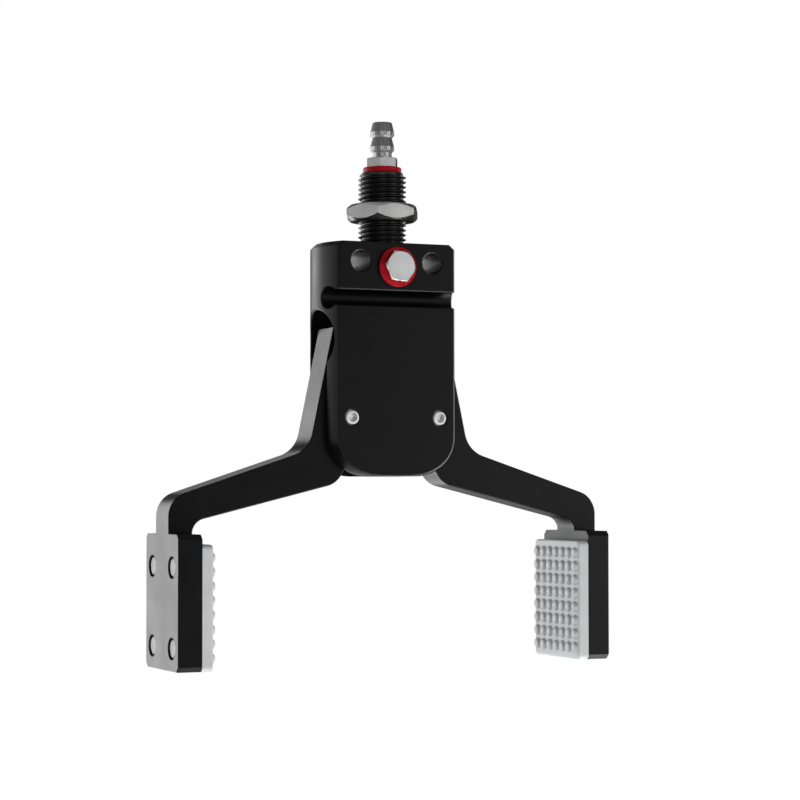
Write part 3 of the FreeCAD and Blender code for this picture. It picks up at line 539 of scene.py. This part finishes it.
def makeThreadTree():   # one turn of the thread form, wound up the stem as a strip whose edges meet
    spec = stemThread
    tree, given, made = newGroup("stemThread", "GeometryNodeTree", [
        *sockets("NodeSocketFloat", "Pitch", "Crest Radius", "Root Radius", "Tip Radius"),
        *sockets("NodeSocketFloat", "Base", "Top", "Start Height"),
        *sockets("NodeSocketInt", "Turns", "Segments"),
        *sockets("NodeSocketMaterial", "Material"),
    ], [("Geometry", "NodeSocketGeometry")])
    rows = len(spec["formHeights"])
    strip = addNode(tree, "GeometryNodeMeshGrid")
    strip.inputs["Size X"].default_value = 1.0
    strip.inputs["Size Y"].default_value = 1.0
    strip.inputs["Vertices Y"].default_value = rows
    points = compute(tree, "MULTIPLY_ADD", given["Turns"], given["Segments"], 1.0)
    feed(tree, points, strip.inputs["Vertices X"])
    onGrid = splitVector(tree, addNode(tree, "GeometryNodeInputPosition").outputs[0])   # centred on 0
    turnsUp = compute(tree, "MULTIPLY", compute(tree, "ADD", onGrid[0], 0.5), given["Turns"])
    row = compute(tree, "ROUND", compute(tree, "MULTIPLY_ADD", onGrid[1], rows - 1.0, (rows - 1) / 2))
    shares = []
    for form in (spec["formHeights"], spec["formDepths"]):
        pick = addNode(tree, "GeometryNodeIndexSwitch", data_type="FLOAT")
        while len(pick.index_switch_items) < rows:
            pick.index_switch_items.new()
        feed(tree, row, pick.inputs["Index"])
        for index, value in enumerate(form):
            pick.inputs[index + 1].default_value = value
        shares.append(pick.outputs[0])
    steps = compute(tree, "ADD", turnsUp, shares[0])
    rise = compute(tree, "MULTIPLY_ADD", steps, given["Pitch"], given["Start Height"])
    height = compute(tree, "MAXIMUM", compute(tree, "MINIMUM", rise, given["Top"]), given["Base"])
    depth = compute(tree, "SUBTRACT", given["Crest Radius"], given["Root Radius"])
    radius = compute(tree, "MULTIPLY_ADD", shares[1], depth, given["Root Radius"])
    leadIn = compute(tree, "ADD", compute(tree, "SUBTRACT", given["Top"], height), given["Tip Radius"])
    runOut = compute(tree, "ADD", compute(tree, "SUBTRACT", height, given["Base"]), given["Root Radius"])
    radius = compute(tree, "MINIMUM", compute(tree, "MINIMUM", radius, leadIn), runOut)
    angle = compute(tree, "MULTIPLY", turnsUp, 2.0 * math.pi)
    point = addNode(tree, "ShaderNodeCombineXYZ")
    feed(tree, compute(tree, "MULTIPLY", compute(tree, "COSINE", angle), radius), point.inputs[0])
    feed(tree, compute(tree, "MULTIPLY", compute(tree, "SINE", angle), radius), point.inputs[1])
    feed(tree, height, point.inputs[2])
    shape = addNode(tree, "GeometryNodeSetPosition")
    feed(tree, strip.outputs["Mesh"], shape.inputs["Geometry"])
    feed(tree, point.outputs[0], shape.inputs["Position"])
    weld = addNode(tree, "GeometryNodeMergeByDistance")
    weld.inputs["Distance"].default_value = spec["weld"] * mm
    feed(tree, shape.outputs[0], weld.inputs["Geometry"])
    return finishTree(tree, weld.outputs[0], given, made)


def makeThread():
    spec = stemThread
    halfCrest = spec["formHeights"][1] / 2
    start = spec["crestAtRight"] - spec["pitch"] * spec["rightAngle"] / 360.0 - halfCrest * spec["pitch"]
    while start > spec["base"] - spec["pitch"]:
        start -= spec["pitch"]
    turns = math.ceil((spec["top"] - start) / spec["pitch"])
    print("thread:", turns, "turns")
    return runTree("stemThread", makeThreadTree(), {
        "Pitch": spec["pitch"] * mm, "Crest Radius": spec["crest"] * mm, "Root Radius": spec["root"] * mm,
        "Base": spec["base"] * mm, "Top": spec["top"] * mm, "Tip Radius": spec["tip"] * mm,
        "Start Height": start * mm, "Turns": turns, "Segments": spec["segments"],
        "Material": finishes["body_anodised"],
    })


threadedBody = {
    "weld": 0.001, "sliver": 0.0005, "rimSlack": 0.04,
    "stemFrom": 0.02, "skinFrom": 4.34,   # height and radius from which a face is the stem's plain skin
    "endDepth": 0.1, "endFacing": 0.9,    # how near the end, and how level, its end face lies
    "stemRadius": 5.0, "portRadius": 2.5,
    "crispFrom": 20.0,   # edges sharper than this many degrees aren't shaded smooth
}


def onStemSkin(face):
    spec = threadedBody
    middle = face.calc_center_median()
    onSide = math.hypot(middle.x, middle.y) > spec["skinFrom"] * mm
    onEnd = face.normal.z > spec["endFacing"] and middle.z > (stemThread["top"] - spec["endDepth"]) * mm
    return middle.z > spec["stemFrom"] * mm and (onSide or onEnd)


def rimEdges(work, height, radius):   # open edges along one ring round the stem
    slack = threadedBody["rimSlack"] * mm
    return [edge for edge in work.edges if len(edge.link_faces) == 1 and all(
        abs(v.co.z - height * mm) < slack and abs(math.hypot(v.co.x, v.co.y) - radius * mm) < slack
        for v in edge.verts)]


def makeBody():
    spec = threadedBody
    thread = makeThread()
    work = bmesh.new()
    work.from_mesh(nodes["body"].data)
    bmesh.ops.remove_doubles(work, verts=work.verts, dist=spec["weld"] * mm)
    # the stem's plain skin and end face make room for the thread
    bmesh.ops.delete(work, geom=[face for face in work.faces if onStemSkin(face)], context="FACES")
    work.from_mesh(thread)
    bmesh.ops.dissolve_degenerate(work, edges=work.edges, dist=spec["sliver"] * mm)
    foot = ((0.0, spec["stemRadius"]), (stemThread["base"], stemThread["root"]))
    end = ((stemThread["top"], spec["portRadius"]), (stemThread["top"], stemThread["tip"]))
    for rims in (foot, end):
        edges = [edge for height, radius in rims for edge in rimEdges(work, height, radius)]
        bmesh.ops.bridge_loops(work, edges=edges)
    bmesh.ops.recalc_face_normals(work, faces=work.faces)
    openEdges = sum(1 for edge in work.edges if len(edge.link_faces) != 2)
    crisp = math.radians(spec["crispFrom"])
    for face in work.faces:
        face.smooth = True
    for edge in work.edges:
        edge.smooth = len(edge.link_faces) == 2 and edge.calc_face_angle(0.0) < crisp
    mesh = bpy.data.meshes.new("threadedBody")
    work.to_mesh(mesh)
    work.free()
    if "custom_normal" in mesh.attributes:   # normals of the plain stem
        mesh.attributes.remove(mesh.attributes["custom_normal"])
    mesh.materials.clear()
    mesh.materials.append(finishes["body_anodised"])
    piece = bpy.data.objects.new("threaded_body", mesh)
    scene.collection.objects.link(piece)
    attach(piece, "frame")
    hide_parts("body")
    print("body:", len(mesh.polygons), "faces,", openEdges, "open edges")


makeBody()


armSpring = {
    "outside": 3.4, "wire": 0.5, "turns": 6.5,
    "level": -43.0, "inner": 1.75, "outer": 9.926, "endGap": 0.05,   # its axis, and its seats along X
    "closing": 0.6, "pressedShare": 0.775,   # closed end turns, and length left when the arm is closed
    "resolution": 28, "wireSides": 10, "crispFrom": 50.0,
}


def makeSpringTree():   # coil with closed end turns, laid along X
    tree, given, made = newGroup("armSpring", "GeometryNodeTree", [
        *sockets("NodeSocketFloat", "Mean Radius", "Wire Radius", "Turns", "Length", "Closing"),
        *sockets("NodeSocketVector", "Offset", "Turn"),
        *sockets("NodeSocketInt", "Resolution", "Wire Sides"),
        *sockets("NodeSocketMaterial", "Material"),
    ], [("Geometry", "NodeSocketGeometry")])
    coil = addNode(tree, "GeometryNodeCurveSpiral")
    for label, *coilSockets in (
            ("Resolution", "Resolution"), ("Turns", "Rotations"), ("Length", "Height"),
            ("Mean Radius", "Start Radius", "End Radius")):
        for socket in coilSockets:
            feed(tree, given[label], coil.inputs[socket])
    position = splitVector(tree, addNode(tree, "GeometryNodeInputPosition").outputs[0])
    share = compute(tree, "DIVIDE", position[2], given["Length"])
    slope = compute(tree, "MULTIPLY_ADD", share, -2.0, 3.0)   # smooth step: flat at both ends of the coil
    eased = compute(tree, "MULTIPLY", compute(tree, "MULTIPLY", share, share), slope)
    extra = compute(tree, "MULTIPLY", compute(tree, "SUBTRACT", eased, share), given["Closing"])
    shift = addNode(tree, "ShaderNodeCombineXYZ")
    feed(tree, compute(tree, "MULTIPLY", extra, given["Length"]), shift.inputs[2])
    ease = addNode(tree, "GeometryNodeSetPosition")
    feed(tree, coil.outputs[0], ease.inputs["Geometry"])
    feed(tree, shift.outputs[0], ease.inputs["Offset"])
    ring = addNode(tree, "GeometryNodeCurvePrimitiveCircle")
    feed(tree, given["Wire Sides"], ring.inputs["Resolution"])
    feed(tree, given["Wire Radius"], ring.inputs["Radius"])
    wire = addNode(tree, "GeometryNodeCurveToMesh")
    wire.inputs["Fill Caps"].default_value = True
    feed(tree, ease.outputs[0], wire.inputs["Curve"])
    feed(tree, ring.outputs[0], wire.inputs["Profile Curve"])
    lay = addNode(tree, "GeometryNodeTransform")
    feed(tree, wire.outputs[0], lay.inputs["Geometry"])
    feed(tree, given["Offset"], lay.inputs["Translation"])
    feed(tree, given["Turn"], lay.inputs["Rotation"])
    return finishTree(tree, lay.outputs[0], given, made)


def makeSprings():
    spec = armSpring
    tree = makeSpringTree()
    wire = spec["wire"] / 2
    for side, sign in (("left", -1), ("right", 1)):
        mesh = runTree(side + "Spring", tree, {
            "Mean Radius": (spec["outside"] / 2 - wire) * mm, "Wire Radius": wire * mm,
            "Length": (spec["outer"] - spec["inner"] - 2 * wire - 2 * spec["endGap"]) * mm,
            "Turns": spec["turns"], "Closing": spec["closing"], "Turn": (0.0, sign * math.pi / 2, 0.0),
            "Offset": (sign * (spec["inner"] + wire + spec["endGap"]) * mm, 0.0, spec["level"] * mm),
            "Resolution": spec["resolution"], "Wire Sides": spec["wireSides"],
            "Material": finishes["spring_wire"],
        })
        mesh.polygons.foreach_set("use_smooth", [True] * len(mesh.polygons))
        mesh.set_sharp_from_angle(angle=math.radians(spec["crispFrom"]))
        piece = bpy.data.objects.new(side + "_arm_spring", mesh)
        scene.collection.objects.link(piece)
        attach(piece, "frame")
        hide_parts(side + "_return_spring")
        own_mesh(piece)
        print("spring:", side, len(mesh.polygons), "faces")


makeSprings()


# studio

floorPaper = {
    "level": -520.0, "half": 3000.0, "colour": (0.8, 0.8, 0.8), "grainShade": 0.985, "roughness": 0.85,
    "grainScale": 900.0, "cloudScale": 6.0,
    "lift": 0.95, "shine": 0.3,   # own light, for the camera and for gloss
}
room = {
    "ambient": ((0.0, 0.8), (0.18, 0.12)),   # by height of the ray, from level to steep
    "mirrored": ((0.04, 0.2), (0.12, 0.1)), "crown": ((0.6, 0.95), (0.0, 0.25)),   # what gloss sees
}
lamps = {   # place in mm, size in mm, radiance
    "backLeft": ((-278, 645, -50), (330, 540), 4.2),
    "backLow": ((-50, 640, -305), (500, 250), 2.6),
    "backHigh": ((315, 705, 350), (520, 200), 2.2),
    "left": ((-668, 375, -15), (490, 380), 1.9),
    "lowLeft": ((-520, -120, -480), (300, 300), 2.1),
    "right": ((640, 300, -40), (220, 420), 2.5),
    "below": ((160, -330, -470), (260, 260), 6.5),
    "under": ((200, -60, -505), (200, 200), 11.0),
    "frontLeft": ((-330, -870, -150), (400, 400), 2.9),
    "frontRight": ((692, -800, -40), (500, 500), 2.3),
}
lampAim = (0, 0, -40)
camera = {
    "place": (-203.2, -461.4, -50.5), "yaw": 24.185, "pitch": 2.089, "roll": -0.053,
    "lens": 109.25, "sensor": 36.0, "near": 10.0,
}


def makeFloor():
    spec = floorPaper
    half, level = spec["half"] * mm, spec["level"] * mm
    corners = [(x * half, y * half, level) for x, y in ((-1, -1), (1, -1), (1, 1), (-1, 1))]
    mesh = bpy.data.meshes.new("studioFloor")
    mesh.from_pydata(corners, [], [(0, 1, 2, 3)])
    floor = bpy.data.objects.new("studio_floor", mesh)
    scene.collection.objects.link(floor)
    material, tree, surface, place = newFinish("palePaper")
    paper = useGrain(tree, place, spec)
    shaded = tuple(spec["grainShade"] * v for v in spec["colour"])
    feed(tree, mixColour(tree, paper["Grain"], shaded, spec["colour"]), surface["Base Color"])
    surface["Roughness"].default_value = spec["roughness"]
    rays = addNode(tree, "ShaderNodeLightPath").outputs
    seen = compute(tree, "MAXIMUM", rays["Is Camera Ray"], rays["Is Transmission Ray"])
    lift = compute(tree, "MULTIPLY", seen, spec["lift"])
    surface["Emission Color"].default_value = (1, 1, 1, 1)
    shine = compute(tree, "MULTIPLY_ADD", rays["Is Glossy Ray"], spec["shine"], lift)
    feed(tree, shine, surface["Emission Strength"])
    mesh.materials.append(material)


def makeWorld():   # white to the camera, and dim and uneven to everything else
    world = bpy.data.worlds.new("studioRoom")
    scene.world = world
    world.use_nodes = True
    tree = world.node_tree
    tree.nodes.clear()
    rays = addNode(tree, "ShaderNodeLightPath").outputs
    height = splitVector(tree, addNode(tree, "ShaderNodeTexCoord").outputs["Generated"])[2]
    crown = spread(tree, height, *room["crown"])
    mirrored = compute(tree, "ADD", spread(tree, height, *room["mirrored"]), crown)
    reflected = compute(tree, "MAXIMUM", rays["Is Glossy Ray"], rays["Is Transmission Ray"])
    indirect = addNode(tree, "ShaderNodeMix")
    for value, index in ((reflected, 0), (spread(tree, height, *room["ambient"]), 2), (mirrored, 3)):
        feed(tree, value, indirect.inputs[index])
    back = addNode(tree, "ShaderNodeBackground")
    back.inputs["Color"].default_value = (1, 1, 1, 1)
    level = compute(tree, "MAXIMUM", indirect.outputs[0], rays["Is Camera Ray"])
    feed(tree, level, back.inputs["Strength"])
    out = addNode(tree, "ShaderNodeOutputWorld")
    feed(tree, back.outputs[0], out.inputs["Surface"])


def makeLamps():
    aim = Vector(metres(lampAim))
    for name, (place, size, radiance) in lamps.items():
        light = bpy.data.lights.new(name, "AREA")
        light.shape = "RECTANGLE"
        light.size, light.size_y = metres(size)
        light.energy = radiance * math.pi * light.size * light.size_y
        lamp = bpy.data.objects.new(name, light)
        scene.collection.objects.link(lamp)
        lamp.location = metres(place)
        lamp.rotation_euler = (aim - lamp.location).to_track_quat("-Z", "Y").to_euler()
        lamp.visible_camera = False


def makeCamera():
    data = bpy.data.cameras.new("viewCamera")
    data.sensor_width = camera["sensor"]
    data.lens = camera["lens"]
    data.clip_start = camera["near"] * mm
    eye = bpy.data.objects.new("viewCamera", data)
    scene.collection.objects.link(eye)
    yaw = Matrix.Rotation(-math.radians(camera["yaw"]), 4, "Z")
    pitch = Matrix.Rotation(math.radians(90 + camera["pitch"]), 4, "X")
    roll = Matrix.Rotation(math.radians(camera["roll"]), 4, "Z")
    eye.matrix_world = Matrix.Translation(metres(camera["place"])) @ yaw @ pitch @ roll
    scene.camera = eye


makeFloor()
makeWorld()
makeLamps()
makeCamera()
scene.view_settings.view_transform = "Standard"
print("studio:", len(lamps), "lamps")

materialTrees = [material.node_tree for material in bpy.data.materials if material.node_tree]
for tree in (*bpy.data.node_groups, *materialTrees, scene.world.node_tree):
    arrange(tree)
